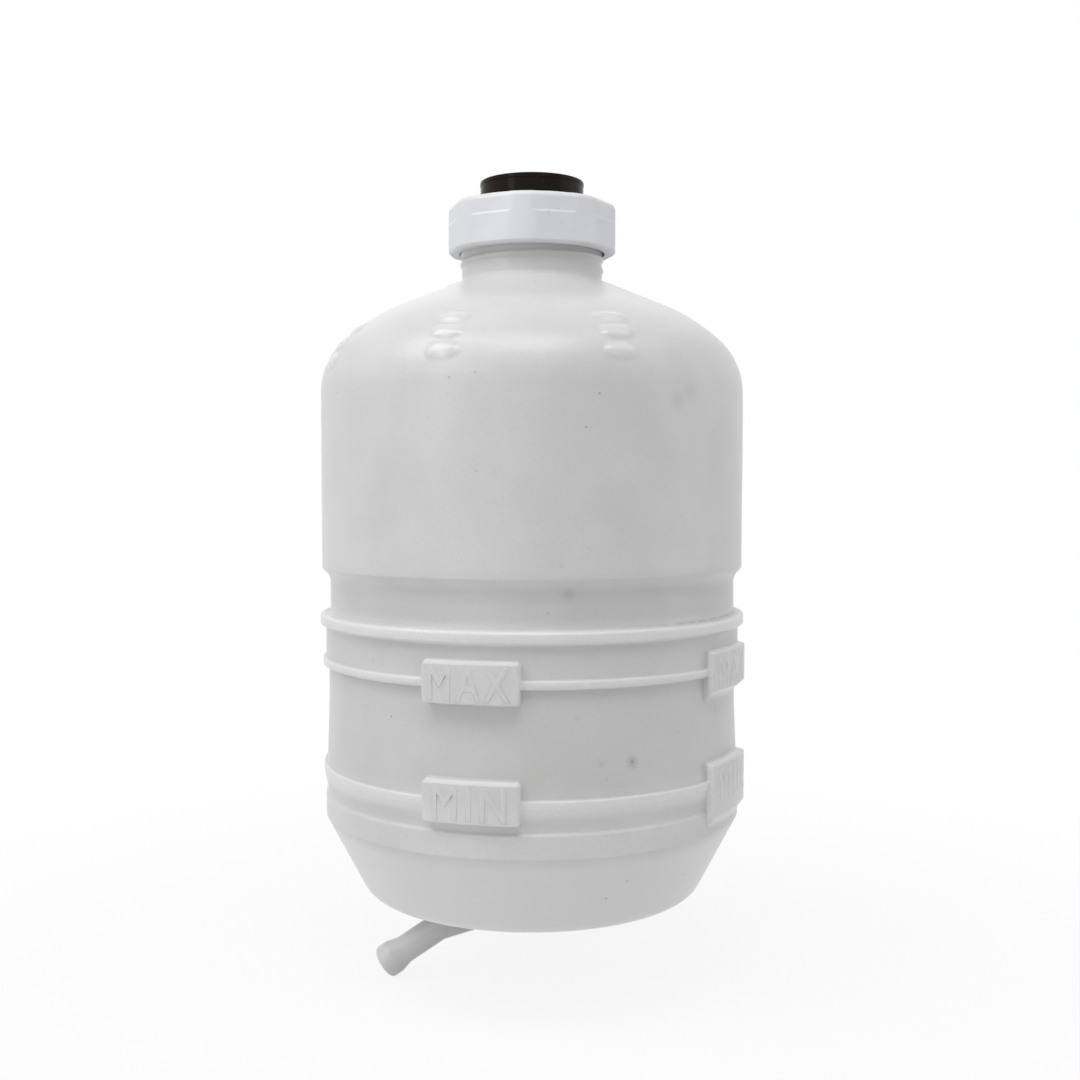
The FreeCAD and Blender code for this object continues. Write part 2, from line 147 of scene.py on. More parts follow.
def fillMesh(name, points, quads, triangles=None):
    # mesh from whole arrays of points, quads and triangles, all smooth
    triangles = np.zeros((0, 3), int) if triangles is None else triangles
    corners = np.concatenate([quads.ravel(), triangles.ravel()]).astype(np.int32)
    sizes = np.concatenate([np.full(len(quads), 4), np.full(len(triangles), 3)])
    starts = np.concatenate([[0], np.cumsum(sizes)[:-1]]).astype(np.int32)
    mesh = bpy.data.meshes.new(name)
    mesh.vertices.add(len(points))
    mesh.vertices.foreach_set("co", np.ascontiguousarray(points, np.float32).ravel())
    mesh.loops.add(len(corners))
    mesh.loops.foreach_set("vertex_index", corners)
    mesh.polygons.add(len(sizes))
    mesh.polygons.foreach_set("loop_start", starts)
    mesh.polygons.foreach_set("use_smooth", np.ones(len(sizes), bool))
    mesh.update(calc_edges=True)
    mesh.validate()
    return mesh


def meshPoints(mesh):
    # a mesh's points as rows of x, y and z
    co = np.empty(len(mesh.vertices) * 3, np.float32)
    mesh.vertices.foreach_get("co", co)
    return co.reshape(-1, 3)


def closedTurning(name, points):
    # grid of a turned skin whose first and last rows lie on the axis: each becomes one pole
    rows, cols = points.shape[:2]
    body = points[1:-1]
    quads = gridFaces(rows - 2, cols, False) + 1
    j = np.arange(cols)
    nextJ = (j + 1) % cols
    last = 1 + (rows - 2) * cols
    base = 1 + (rows - 3) * cols
    lower = np.stack([0 * j, 1 + nextJ, 1 + j], axis=-1)
    upper = np.stack([base + j, base + nextJ, 0 * j + last], axis=-1)
    flat = np.concatenate([points[:1, 0], body.reshape(-1, 3), points[-1:, 0]])
    return fillMesh(name, flat, quads, np.concatenate([lower, upper]))


def ringTurning(name, points):
    # grid of a turned skin whose rows also close, as on a ring
    rows, cols = points.shape[:2]
    return fillMesh(name, points.reshape(-1, 3), gridFaces(rows, cols, True))


def sweptTube(name, path, radius, sides):
    # round wire along a path, with frames from the path's own tangent and the Z axis, and fanned ends
    tangent = np.gradient(path, axis=0)
    tangent /= np.linalg.norm(tangent, axis=1)[:, None]
    sideways = np.cross(tangent, [0, 0, 1.0])
    sideways /= np.linalg.norm(sideways, axis=1)[:, None]
    upward = np.cross(sideways, tangent)
    turn = evenTurn(sides)[None, :, None]
    skin = path[:, None] + radius * (np.cos(turn) * sideways[:, None] - np.sin(turn) * upward[:, None])
    points = np.concatenate([path[:1, None].repeat(sides, 1), skin, path[-1:, None].repeat(sides, 1)])
    return closedTurning(name, points)


def newObject(name, data):
    # an object in the scene that shows the given data
    made = bpy.data.objects.new(name, data)
    bpy.context.scene.collection.objects.link(made)
    return made


def addPiece(mesh, material, body, slot, *nodes):
    # a piece that rides on a body, and stands in for CAD nodes where some are named
    piece = newObject(mesh.name, mesh)
    piece.data.materials.append(material)
    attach(piece, body)
    if nodes:
        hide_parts(*nodes)
    return piece


# Shader helpers

class Wire:
    def __init__(self, tree, socket):
        self.tree = tree
        self.socket = socket

    def make(self, kind, settings=None, sockets=None, out=0):
        node = self.tree.nodes.new(kind)
        for key, value in (settings or {}).items():
            setattr(node, key, value)
        for key, value in (sockets or {}).items():
            if isinstance(value, Wire):
                self.tree.links.new(value.socket, node.inputs[key])
            else:
                node.inputs[key].default_value = value
        return Wire(self.tree, node.outputs[out])

    def calc(self, operation, first, second):
        return self.make("ShaderNodeMath", {"operation": operation}, {0: first, 1: second})

    def __add__(self, other):
        return self.calc("ADD", self, other)

    def __sub__(self, other):
        return self.calc("SUBTRACT", self, other)

    def __rsub__(self, other):
        return self.calc("SUBTRACT", other, self)

    def __mul__(self, other):
        return self.calc("MULTIPLY", self, other)

    __radd__ = __add__
    __rmul__ = __mul__

    def span(self, low, high):
        # 0 at low, 1 at high, smooth between
        settings = {"interpolation_type": "SMOOTHSTEP"}
        return self.make("ShaderNodeMapRange", settings, {"Value": self, "From Min": low, "From Max": high})

    def tint(self, first, second):
        # colour from first to second as this value goes from 0 to 1
        settings = {"data_type": "RGBA"}
        return self.make("ShaderNodeMix", settings, {0: self, 6: first, 7: second}, 2)

    def noise(self, scale, detail=3.0, rough=0.55):
        sockets = {"Vector": self, "Scale": scale, "Detail": detail, "Roughness": rough}
        return self.make("ShaderNodeTexNoise", {}, sockets, "Fac")

    def layer(self, values):
        # noise of one scale, detail and roughness, spread between two of its levels
        scale, detail, rough, low, high = values
        return self.noise(scale, detail, rough).span(low, high)

    def stretched(self, scale):
        return self.make("ShaderNodeMapping", {}, {"Vector": self, "Scale": scale})

    def axis(self, letter):
        return self.make("ShaderNodeSeparateXYZ", {}, {0: self}, letter)

    def vector(self, operation, other, out):
        return self.make("ShaderNodeVectorMath", {"operation": operation}, {0: self, 1: other}, out)

    def rising(self, ends):
        # 0 at the first of two places in mm, 1 at the second
        return self.span(ends[0] * mm, ends[1] * mm)

    def band(self, ends, fade):
        # 1 between two places in mm, fading at either end
        low, high = ends
        return self.rising((low, low + fade)) * (1 - self.rising((high - fade, high)))

    def most(self, other):
        # the larger of two values
        return self.calc("MAXIMUM", self, other)


def newMaterial(name):
    # a material, and a wire that carries Object coordinates in it
    material = bpy.data.materials.new(name)
    material.use_nodes = True
    coords = material.node_tree.nodes.new("ShaderNodeTexCoord")
    return material, Wire(material.node_tree, coords.outputs["Object"])


def feed(shader, constants, wires):
    # fixed values on a shader's sockets, then links into the sockets that vary
    for key, value in constants.items():
        shader.inputs[key].default_value = value
    for key, wire in wires.items():
        wire.tree.links.new(wire.socket, shader.inputs[key])


def grey(value, warmth=0.0):
    # grey with more red and less blue by the share warmth
    return (value * (1 + warmth), value, value * (1 - warmth), 1)


# Materials

def finished(material, constants, colour, rough, height, relief):
    # links the inputs that vary, with a bump whose strength and depth are the relief
    sockets = {"Strength": relief[0], "Distance": relief[1], "Height": height}
    normal = height.make("ShaderNodeBump", {}, sockets, "Normal")
    shader = material.node_tree.nodes["Principled BSDF"]
    feed(shader, constants, {"Base Color": colour, "Roughness": rough, "Normal": normal})
    return material


def softPlastic(v):
    # light that enters the plastic a little
    names = ("Subsurface Weight", "Subsurface Radius", "Subsurface Scale")
    return dict(zip(names, (v["subsurface"], v["subsurfaceRadius"], 1.0)))


# how far a mark's edge wanders, and the share of its radius that is solid
markEdge = {"least": 0.55, "uneven": 0.9, "scale": 0.9, "core": 0.1}


def spotMask(coords, place, radius):
    # 1 in the middle of a small mark at place, in mm, fading out unevenly towards radius
    uneven = markEdge["least"] + markEdge["uneven"] * coords.noise(markEdge["scale"] / (radius * mm), 3)
    away = coords.vector("DISTANCE", tuple(v * mm for v in place), "Value") * uneven
    return 1 - away.rising((radius * markEdge["core"], radius))


# A layer is a noise: its scale, detail and roughness, then the levels that become 0 and 1

milkyPlastic = {  # heights and radii in mm, in the frame
    "pale": (0.690, 0.692, 0.694, 1),
    "deep": (0.640, 0.640, 0.637, 1),
    # proud: the paler tone of the raised parts, thicker plastic and partly painted light; it also paints the
    # glint on the bumps and the light from below on the cone
    "proud": (0.765, 0.766, 0.768, 1),
    "shade": (0.42, 0.42, 0.416, 1),
    "grime": (0.24, 0.225, 0.20, 1),
    "stain": (0.52, 0.45, 0.38, 1),
    "roughness": 0.31, "roughSpread": 0.10, "soilRoughness": 0.25,
    "subsurface": 0.22, "subsurfaceRadius": (4 * mm, 3.8 * mm, 3.5 * mm), "refraction": 1.49,
    "cloudScale": 16, "waveScale": 60, "grainScale": 2400, "cloudShare": 0.7, "cloudSpan": (0.34, 0.68),
    "mottle": (1150, 3, 0.6, 0.34, 0.66), "mottleShare": 0.10,
    "proudRadius": (74.7, 75.4), "proudEnd": (-7.5, -6.5),  # the ribs are paler up to the groove: thicker plastic, and partly painted light that the raised faces catch
    "padRadius": (76.7, 77.3), "padShare": 0.55, "letterRadius": (77.51, 77.61), "letterShare": 0.75,
    # the bumps get a paler tint, which is a painted glint, and less roughness
    "bumpEdge": (0.05, 0.6), "bumpGlint": 0.45, "bumpGloss": 0.17,
    # painted shade: the groove, under the base and the neck; a darker band between the level lines; painted
    # light from below on the cone
    "grooveBand": (-8.5, 5.0), "grooveShade": 0.31, "gaugeBand": (-66.0, -10.0), "gaugeShade": 0.20,
    "bandFade": 4.0, "grooveCloud": (0.6, 0.8), "coneEnd": (-86.0, -80.0), "coneShare": 0.85,
    "neckStart": (109.5, 118.5), "neckShade": 0.26,
    "underStart": (-112.5, -111.5), "underEnd": (-137.0, -119.0), "underShade": 0.6,
    "dirtBand": (-8.95, -7.85), "dirtFade": 0.4, "dirtSide": (25.0, 60.0), "dirtLeast": 0.05, "dirtMore": 0.3,
    "dirtPatch": (260, 4, 0.55, 0.30, 0.65),
    "speck": (560, 2, 0.4, 0.71, 0.77), "speckPatch": (38, 2, 0.55, 0.50, 0.68), "speckShare": 0.5,
    "film": (29, 5, 0.65, 0.56, 0.82), "filmShare": 0.10,
    "grainShare": 0.30, "relief": (0.20, 0.25 * mm),
}
soilMarks = [  # place and size in mm, strength
    (31.9, -66.7, -51.4, 3.2, 0.34), (31.9, -66.7, -51.4, 1.3, 0.70), (11.4, -72.1, 2.7, 3.0, 0.22),
    (46.7, -59.8, 63.9, 4.5, 0.13), (51.0, -56.2, 66.7, 4.5, 0.10), (-45.7, -57.6, -38.4, 0.55, 0.95),
    (21.0, -72.9, 65.1, 0.6, 0.7), (16.8, -74.0, 54.7, 0.6, 0.65), (-25.8, -71.3, 70.3, 0.6, 0.6),
    (-17.6, -73.7, 71.6, 0.5, 0.45), (-65.0, -39.1, 67.5, 0.6, 0.5), (-17.2, -73.9, 41.0, 0.5, 0.4),
    (5.0, -72.8, -3.4, 0.7, 0.35), (1.1, -37.2, 104.8, 0.7, 0.4), (31.1, -65.8, 81.1, 0.5, 0.5),
    (30.7, -62.4, -91.1, 0.8, 0.4), (23.9, -62.1, -96.9, 0.9, 0.4), (51.5, -44.1, -94.5, 0.7, 0.4),
    (61.8, -39.8, -39.2, 0.8, 0.25), (14.1, -72.1, -36.5, 1.2, 0.15),
    (-20.0, 72.5, 40.0, 0.7, 0.6), (38.0, 65.0, -35.0, 1.0, 0.5), (-60.0, 43.0, -50.0, 0.8, 0.5),
    (10.0, 75.0, 70.0, 0.6, 0.5), (58.0, 48.0, 20.0, 2.8, 0.14), (-70.0, 22.0, 10.0, 2.2, 0.18),
]
stainMarks = [  # as above
    (21.9, -70.7, -51.5, 1.9, 0.40), (-52.1, -53.4, -20.9, 1.6, 0.25), (-30.0, 67.5, -20.0, 2.0, 0.3),
]


def makeMilkyPlastic(name, v, dirt, marked):
    # blow-moulded plastic: cloudy wall, paler where it stands proud (thicker plastic, partly painted light),
    # a painted glint on the bumps, painted light from below on the cone, painted shade in the groove, under
    # the base and on the neck, a darker band between the level lines, a fine grain, fine specks and a few
    # marks
    material, coords = newMaterial(name)
    up = coords.axis("Z")
    around = coords.vector("MULTIPLY", (1, 1, 0), "Vector").vector("LENGTH", (0, 0, 0), "Value")
    cloud = coords.noise(v["cloudScale"], 3)
    grain = coords.noise(v["grainScale"], 2)
    wave = coords.noise(v["waveScale"], 2)
    tone = cloud * v["cloudShare"] + wave * (1 - v["cloudShare"])
    colour = tone.span(*v["cloudSpan"]).tint(v["pale"], v["deep"])
    # ribs, pads and letters, each paler by its own share: thicker plastic, and partly painted light that the
    # raised faces catch
    proud = around.rising(v["proudRadius"]) * (1 - up.rising(v["proudEnd"]))
    proud = proud * (1 - around.rising(v["padRadius"]) * v["padShare"])
    proud = proud.most(around.rising(v["letterRadius"]) * v["letterShare"])
    colour = proud.tint(colour, v["proud"])
    # painted glint: the bumps are tinted towards the paler tone, and made glossier as well
    bumpLayer = coords.make("ShaderNodeAttribute", {"attribute_name": "bumpShare"}, {}, "Fac")
    bumpGlossAndGlint = bumpLayer.span(*v["bumpEdge"])
    colour = (bumpGlossAndGlint * v["bumpGlint"]).tint(colour, v["proud"])
    colour = (coords.layer(v["mottle"]) * v["mottleShare"]).tint(colour, v["shade"])
    # painted light: the lower cone is tinted paler, standing in for light bounced up from below
    cone = 1 - up.rising(v["coneEnd"])
    colour = (cone * v["coneShare"]).tint(colour, v["proud"])
    # painted shade in the groove below the step, under the base and on the neck below the ring, and a darker
    # band on the wall between the level lines
    fade = v["bandFade"]
    least, more = v["grooveCloud"]
    # painted shade in the groove, under the step's overhang, patchy with the clouds
    paintedShadeAndBand = up.band(v["grooveBand"], fade) * (least + more * cloud) * v["grooveShade"]
    paintedShadeAndBand = paintedShadeAndBand + up.band(v["gaugeBand"], fade) * (1 - proud) * v["gaugeShade"]
    # painted shadow under the base: darkest next to it, fading along the spigot
    under = (1 - up.rising(v["underStart"])) * up.rising(v["underEnd"])
    # painted shade on the neck, where the screw ring shades it
    neck = up.rising(v["neckStart"])
    paintedShadeAndBand = paintedShadeAndBand.most(under * v["underShade"]).most(neck * v["neckShade"])
    colour = paintedShadeAndBand.tint(colour, v["shade"])
    speck = coords.layer(v["speck"]) * coords.layer(v["speckPatch"])
    film = coords.layer(v["film"])
    soil = speck * (v["speckShare"] * dirt) + film * (v["filmShare"] * dirt)
    if marked:
        # dirt that has settled in the corner above the round rib, mostly on the +X side
        side = v["dirtLeast"] + v["dirtMore"] * coords.axis("X").rising(v["dirtSide"])
        settled = up.band(v["dirtBand"], v["dirtFade"]) * side * coords.layer(v["dirtPatch"])
        soil = soil.most(settled)
        for *place, size, strength in soilMarks:
            soil = soil.most(spotMask(coords, place, size) * strength)
        for *place, size, strength in stainMarks:
            colour = (spotMask(coords, place, size) * strength).tint(colour, v["stain"])
    colour = soil.tint(colour, v["grime"])
    rough = v["roughness"] + (cloud - 0.5) * v["roughSpread"]
    rough = rough + soil * v["soilRoughness"] - bumpGlossAndGlint * v["bumpGloss"]
    height = grain * v["grainShare"] + wave * (1 - v["grainShare"])
    constants = dict(softPlastic(v), IOR=v["refraction"])
    return finished(material, constants, colour, rough, height, v["relief"])


ringPlastic = {
    "pale": (0.755, 0.76, 0.785, 1),
    "deep": (0.70, 0.71, 0.74, 1),
    "scuff": (0.40, 0.40, 0.42, 1),
    "cloudScale": 38, "cloudSpan": (0.32, 0.7), "stretch": (60, 60, 900), "stroke": (3, 3, 0.6, 0.60, 0.78),
    "patch": (55, 2, 0.55, 0.48, 0.68), "scuffShare": 0.30,
    "speck": (640, 2, 0.4, 0.70, 0.77), "speckShare": 0.35,
    "roughness": 0.36, "roughSpread": 0.10, "scuffRoughness": 0.4,
    "subsurface": 0.08, "subsurfaceRadius": (2 * mm, 2 * mm, 2 * mm),
    "grainScale": 2300, "grainShare": 0.5, "strokeShare": 0.2, "relief": (0.14, 0.2 * mm),
}


def makeRingPlastic(name, v):
    # moulded white plastic: even colour, handling scuffs in short strokes and a fine grain
    material, coords = newMaterial(name)
    cloud = coords.noise(v["cloudScale"], 3)
    stroke = coords.stretched(v["stretch"]).layer(v["stroke"])
    scuff = stroke * coords.layer(v["patch"]) * v["scuffShare"]
    speck = coords.layer(v["speck"]) * v["speckShare"]
    colour = cloud.span(*v["cloudSpan"]).tint(v["pale"], v["deep"])
    colour = scuff.most(speck).tint(colour, v["scuff"])
    rough = v["roughness"] + cloud * v["roughSpread"] + scuff * v["scuffRoughness"]
    height = coords.noise(v["grainScale"], 2) * v["grainShare"] + stroke * v["strokeShare"]
    return finished(material, softPlastic(v), colour, rough, height, v["relief"])


darkPlastic = {
    "base": (0.0085, 0.0050, 0.0034, 1),
    "worn": (0.013, 0.009, 0.0065, 1),
    "dust": (0.10, 0.09, 0.08, 1),
    "cloudScale": 60, "cloudSpan": (0.36, 0.7), "stretch": (25, 25, 1500), "hairScale": 2,
    "grit": (1500, 2, 0.5, 0.66, 0.75), "gritPatch": (70, 2, 0.55, 0.42, 0.68), "dustShare": 0.5,
    "roughness": 0.15, "roughSpread": 0.14, "dustRoughness": 0.2,
    "specular": 0.085, "refraction": 1.5,
    "grainScale": 2000, "grainShare": 0.5, "hairShare": 0.5, "relief": (0.10, 0.15 * mm),
}


def makeDarkPlastic(name, v):
    # half-gloss dark plastic: worn clouds, turned hairlines round the axis and a little pale dust
    material, coords = newMaterial(name)
    cloud = coords.noise(v["cloudScale"], 4)
    hair = coords.stretched(v["stretch"]).noise(v["hairScale"], 2)
    dust = coords.layer(v["grit"]) * coords.layer(v["gritPatch"])
    colour = cloud.span(*v["cloudSpan"]).tint(v["base"], v["worn"])
    colour = (dust * v["dustShare"]).tint(colour, v["dust"])
    rough = v["roughness"] + cloud * v["roughSpread"] + dust * v["dustRoughness"]
    height = coords.noise(v["grainScale"], 2) * v["grainShare"] + hair * v["hairShare"]
    constants = {"IOR": v["refraction"], "Specular IOR Level": v["specular"]}
    return finished(material, constants, colour, rough, height, v["relief"])


smallFinishes = {  # base, second colour, metallic, roughness, grain scale
    "sealRubber": ((0.020, 0.020, 0.020, 1), (0.045, 0.043, 0.040, 1), 0.0, 0.62, 900),
    "valveBrass": ((0.72, 0.52, 0.25, 1), (0.50, 0.35, 0.16, 1), 1.0, 0.30, 300),
    "springSteel": ((0.52, 0.52, 0.53, 1), (0.36, 0.35, 0.34, 1), 1.0, 0.28, 500),
}
smallLooks = {
    "cloudScale": 0.3, "cloudSpan": (0.35, 0.68), "roughSpread": 0.2,
    "grainScale": 3, "relief": (0.12, 0.1 * mm),
}


def makeSmallFinish(name, base, second, metallic, roughness, scale):
    # two tones in clouds, which also change the roughness, and a finer grain
    material, coords = newMaterial(name)
    cloud = coords.noise(scale * smallLooks["cloudScale"], 4)
    grain = coords.noise(scale * smallLooks["grainScale"], 2)
    colour = cloud.span(*smallLooks["cloudSpan"]).tint(base, second)
    rough = roughness + cloud * smallLooks["roughSpread"]
    return finished(material, {"Metallic": metallic}, colour, rough, grain, smallLooks["relief"])


tankFinish = makeMilkyPlastic("tankPlastic", milkyPlastic, dirt=0.45, marked=True)
# painted shade: the spigot's plastic is a darker copy of the tank's, as it sits in shade under the base;
# dirt=1.0 gives it more specks and film
spigotPlastic = dict(milkyPlastic, pale=grey(0.60, 0.006), deep=grey(0.50, 0.012))
spigotFinish = makeMilkyPlastic("spigotPlastic", spigotPlastic, dirt=1.0, marked=False)
ringFinish = makeRingPlastic("ringPlastic", ringPlastic)
darkFinish = makeDarkPlastic("darkPlastic", darkPlastic)
rubberFinish, brassFinish, steelFinish = [
    makeSmallFinish(name, *values) for name, values in smallFinishes.items()
]
print("materials made:", len(bpy.data.materials))


# Tank: one skin turned about the axis, outside and then inside

tank = {  # mm, heights above the flat base
    "baseCorner": 59.7, "baseRounding": 7.0,
    "coneTop": 29.1, "footRadius": 74.9, "footTop": 36.6, "footStep": 0.8, "waistRadius": 74.0,
    "lineHeights": (46.8, 84.6), "lineRadius": 75.6, "lineHalf": 1.6, "lineCrest": 1.25, "lineSag": 0.4,
    "flareRadius": 74.4, "flareTop": 70.0, "gaugeRadius": 73.5, "upperRadius": 74.6,
    "ribLow": 96.6, "ribTop": 101.0, "ribRadius": 76.6, "ribBevel": 0.9, "ribSlope": 0.15,
    "grooveRadius": 73.0, "grooveTop": 114.2, "grooveStep": 3.1,
    "bodyRadius": 75.9, "lowerRounding": 26.0, "upperRounding": 65.0,
    "breakSlope": 42.0, "shoulderSlope": 23.0,
    "neckRoot": 219.85, "neckRadius": 25.3, "neckBore": 22.5, "neckRim": 241.4,
    "wall": 2.6, "innerBreak": 1.0, "innerDrop": 1.2,
    "seamRise": 0.16, "seamHalf": 0.55, "seamStart": 2, "seamFade": 4, "flushDepth": 0.6,
    "waviness": 0.08, "calmTop": 205, "calmRun": 30,
    "broadTurns": 3, "broadClimb": 17, "broadFade": 23,  # waves round the tank, and mm of height per radian
    "shortTurns": 7, "shortClimb": 11, "shortShare": 0.6,
}
tankGrid = {  # rows along the profile in mm, columns round the axis in radians
    "arcStep": 0.05, "rimMargin": 0.05,
    "padRows": 7, "padMargin": 1.0, "taperRows": 10, "taperMargin": 0.8, "threadStep": 0.5,
    "evenRows": 60, "shoulderRows": 78, "shoulderLow": 6, "shoulderHigh": 8, "insideRows": 20,
    "outsideGap": 0.3, "insideGap": 2.4,
    "columns": 126, "columnGap": 0.0028, "padColumns": 7, "padSpread": 0.014,
    "bumpColumns": 16, "bumpSpread": 0.12, "seamColumns": 7, "seamSpread": 0.010,
}
plates = {  # mm; minDrop is the reach below the line, taper the length of the sloping underside
    "faceRadius": 77.5, "halfWidth": 16.5, "halfHeight": 6.85, "cornerRounding": 1.3, "edgeSoftness": 1.0,
    "azimuths": (-15.0, 63.5), "minDrop": 4.6, "taper": 4.2, "taperOver": 0.6, "taperCurve": 0.6,
}
front, side = plates["azimuths"]
plateList = [  # azimuth, which line, drop, taper
    (front, 0, 0.0, 0.0), (front, 1, 0.0, 0.0),
    (side, 0, plates["minDrop"], plates["taper"]), (side, 1, 0.0, plates["taper"]),
]
bumps = {  # azimuths in degrees, lengths in mm along the profile
    "azimuths": (-67.5, -22.5, 22.5, 112.5, 157.5, 202.5), "first": 10.4, "step": 7.5, "count": 3,
    "halfLength": 5.9, "halfHeight": 3.1, "rise": 0.80, "bluntness": 3.2, "fullness": 0.7,
}
neckThread = {  # mm, heights above the flat base
    "pitch": 4.0, "bottom": 222.8, "top": 238.4, "rise": 0.6, "crestHalf": 0.40, "flank": 0.75, "fade": 1.2,
}
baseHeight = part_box("tank_body")[0][2] / mm


def shoulderCorners(t):
    # height where the shoulder's lower arc starts, then the wall's upper corner and the shoulder's break,
    # with the two arcs meeting on the run between them
    slope = radians(t["breakSlope"])
    lowerReach = t["lowerRounding"] * math.tan((pi / 2 - slope) / 2)
    upperReach = t["upperRounding"] * math.tan((slope - radians(t["shoulderSlope"])) / 2)
    run = lowerReach + upperReach
    breakRadius = t["bodyRadius"] - run * math.cos(slope)
    fall = (breakRadius - t["neckRadius"]) * math.tan(radians(t["shoulderSlope"]))
    breakHeight = t["neckRoot"] - fall
    wallTop = breakHeight - run * math.sin(slope)
    return wallTop - lowerReach, (t["bodyRadius"], wallTop), (breakRadius, breakHeight)


def tankProfile(t):
    # outer wall from the base's middle up to the rim, then the inner wall down to the floor's middle
    minLine, maxLine = [line - t["lineSag"] for line in t["lineHeights"]]
    wallCorner, breakCorner = shoulderCorners(t)[1:]
    corners = [
        (0, 0, 0), (t["baseCorner"], 0, t["baseRounding"]),
        (t["footRadius"], t["coneTop"], 1.6), (t["footRadius"], t["footTop"], 0.35),
        (t["waistRadius"], t["footTop"] + t["footStep"], 0.5),
        (t["lineRadius"], minLine - t["lineCrest"], 0.6), (t["lineRadius"], minLine + t["lineCrest"], 0.5),
        (t["flareRadius"], minLine + t["lineHalf"], 0.6), (t["gaugeRadius"], t["flareTop"], 60.0),
        (t["gaugeRadius"], maxLine - t["lineHalf"], 0.5), (t["lineRadius"], maxLine - t["lineCrest"], 0.5),
        (t["lineRadius"], maxLine + t["lineCrest"], 0.5), (t["upperRadius"], maxLine + t["lineHalf"], 0.6),
    ]
    corners += [
        (t["upperRadius"], t["ribLow"], 1.6), (t["ribRadius"], t["ribLow"] + t["ribBevel"], 0.6),
        (t["ribRadius"], t["ribTop"], 1.0), (t["grooveRadius"], t["ribTop"] + t["ribSlope"], 0.8),
        (t["grooveRadius"], t["grooveTop"], 8.0), (t["bodyRadius"], t["grooveTop"] + t["grooveStep"], 0.9),
        wallCorner + (t["lowerRounding"],), breakCorner + (t["upperRounding"],),
        (t["neckRadius"], t["neckRoot"], 1.4),
        (t["neckRadius"], t["neckRim"], 0.6), (t["neckBore"], t["neckRim"], 0.6),
    ]
    roof = t["wall"] / math.cos(radians(t["shoulderSlope"]))
    rise = (t["neckRadius"] - t["neckBore"]) * math.tan(radians(t["shoulderSlope"]))
    inner = [
        (t["neckBore"], t["neckRoot"] + rise - roof, 2.0),
        (breakCorner[0] - t["innerBreak"], breakCorner[1] - roof, t["upperRounding"] - t["wall"]),
        (t["bodyRadius"] - t["wall"], wallCorner[1] - t["innerDrop"], t["lowerRounding"] - t["wall"]),
        (t["bodyRadius"] - t["wall"], t["grooveTop"] + t["grooveStep"], 3.0),
        (t["grooveRadius"] - t["wall"], t["grooveTop"], 3.0),
        (t["grooveRadius"] - t["wall"], t["coneTop"], 3.0),
        (t["baseCorner"] - t["wall"], t["wall"], t["baseRounding"]), (0, t["wall"], 0),
    ]
    return roundedProfile(corners + inner, tankGrid["arcStep"])


def threadRise(thread, height, azimuth, shift=0.0):
    # right-handed ridge: its middle climbs one pitch for each turn, and it fades in and out at its ends
    turns = (height - thread["bottom"]) / thread["pitch"] - azimuth / (2 * pi) - shift
    nearest = np.round(turns)
    away = np.abs(turns - nearest) * thread["pitch"]
    ridge = thread["bottom"] + (nearest + azimuth / (2 * pi) + shift) * thread["pitch"]
    fadeIn = smoothStep((ridge - thread["bottom"]) / thread["fade"])
    fadeOut = smoothStep((thread["top"] - ridge) / thread["fade"])
    flanks = smoothStep(1 - (away - thread["crestHalf"]) / thread["flank"])
    return thread["rise"] * (fadeIn * fadeOut) * flanks


def plateMask(around, up, p, drop, taper):
    # 1 on the pad's face and 0 off it: a rounded box's edge distance, smoothed, with a sloping underside
    low = -p["halfHeight"] - drop - taper
    middle = (p["halfHeight"] + low) / 2
    sideways = np.abs(around) - p["halfWidth"] + p["cornerRounding"]
    upwards = np.abs(up - middle) - (p["halfHeight"] - low) / 2 + p["cornerRounding"]
    outside = np.hypot(np.maximum(sideways, 0), np.maximum(upwards, 0)) - p["cornerRounding"]
    inside = np.minimum(np.maximum(sideways, upwards), 0)
    mask = smoothStep(0.5 - (outside + inside) / p["edgeSoftness"])
    if taper:
        slope = np.clip((up - low) / (taper + p["taperOver"]), 0, 1)
        mask = mask * slope * slope * (1 + p["taperCurve"] - p["taperCurve"] * slope)
    return mask


def tankRows(run, profile, t, p, g):
    # places along the profile: its own corners, an even spread, and more at pads, bumps and thread
    turning = int(np.argmax(profile[:, 1]))
    outerRun = run[:turning + 1]
    outerHeight = profile[:turning + 1, 1]
    edges = [line + side * p["halfHeight"] for line in t["lineHeights"] for side in (-1, 1)]
    tapers = [line - p["halfHeight"] - drop for line, drop in zip(t["lineHeights"], (p["minDrop"], 0))]
    padSpread = np.linspace(-g["padMargin"], g["padMargin"], g["padRows"])
    taperSpread = np.linspace(-p["taper"] - g["taperMargin"], g["taperMargin"], g["taperRows"])
    threadSpread = np.arange(t["neckRoot"] + 1, t["neckRim"] - 0.5, g["threadStep"])
    fine = [edge + padSpread for edge in edges] + [low + taperSpread for low in tapers] + [threadSpread]
    shoulderLow = t["grooveTop"] + t["grooveStep"] + g["shoulderLow"]
    shoulderStart = np.interp(shoulderLow, outerHeight, outerRun)
    shoulderEnd = np.interp(t["neckRoot"] - g["shoulderHigh"], outerHeight, outerRun)
    outside = np.concatenate([
        outerRun, np.interp(np.concatenate(fine), outerHeight, outerRun),
        np.linspace(0, outerRun[-1], g["evenRows"]),
        np.linspace(shoulderStart, shoulderEnd, g["shoulderRows"]),
    ])
    inside = np.concatenate([run[turning + 1:], np.linspace(outerRun[-1] + 1, run[-1], g["insideRows"])])
    return np.concatenate([thinned(outside, g["outsideGap"]), thinned(inside, g["insideGap"])])


